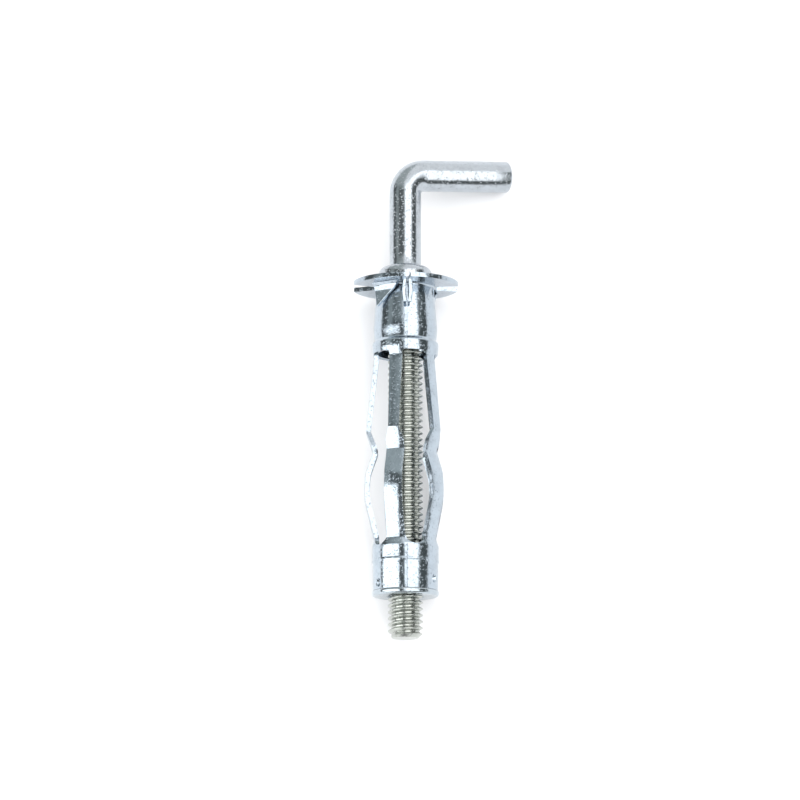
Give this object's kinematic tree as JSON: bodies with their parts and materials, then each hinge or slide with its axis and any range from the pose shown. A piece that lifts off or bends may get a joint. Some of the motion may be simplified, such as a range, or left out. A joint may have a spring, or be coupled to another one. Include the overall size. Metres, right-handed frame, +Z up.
{
  "type": "hollow wall hook anchor",
  "caption": "Hollow wall anchor: a slotted sleeve of rolled sheet steel with a flange and claws, a threaded insert in its end, and a screw whose head is bent into a right-angled hook.",
  "frame": {"origin": "middle of the anchor's footprint, on the surface it lies on", "axes": "+Y along the anchor towards the hook, the flange end 3.7 degrees higher; +Z up; the hook's arm points to +X and down to the surface"},
  "size_m": [0.0178, 0.0554, 0.012],
  "materials": {
    "sleeve_zinc": "bright bluish zinc plating on rolled sheet steel",
    "insert_zinc": "bright zinc plating on a turned insert",
    "screw_zinc": "bright zinc plating on drawn steel wire"
  },
  "bodies": {
    "sleeve_body": {"sleeve": "sleeve_zinc", "threaded_insert": "insert_zinc"},
    "hook_body": {"hook_screw": "screw_zinc"}
  },
  "joints": [
    {"name": "hook_turn", "type": "hinge", "parent": "sleeve_body", "child": "hook_body", "pos_m": [-0.00296, -0.02243, 0.00379], "axis": [0, 0.9979, 0.0645], "continuous": true}
  ]
}
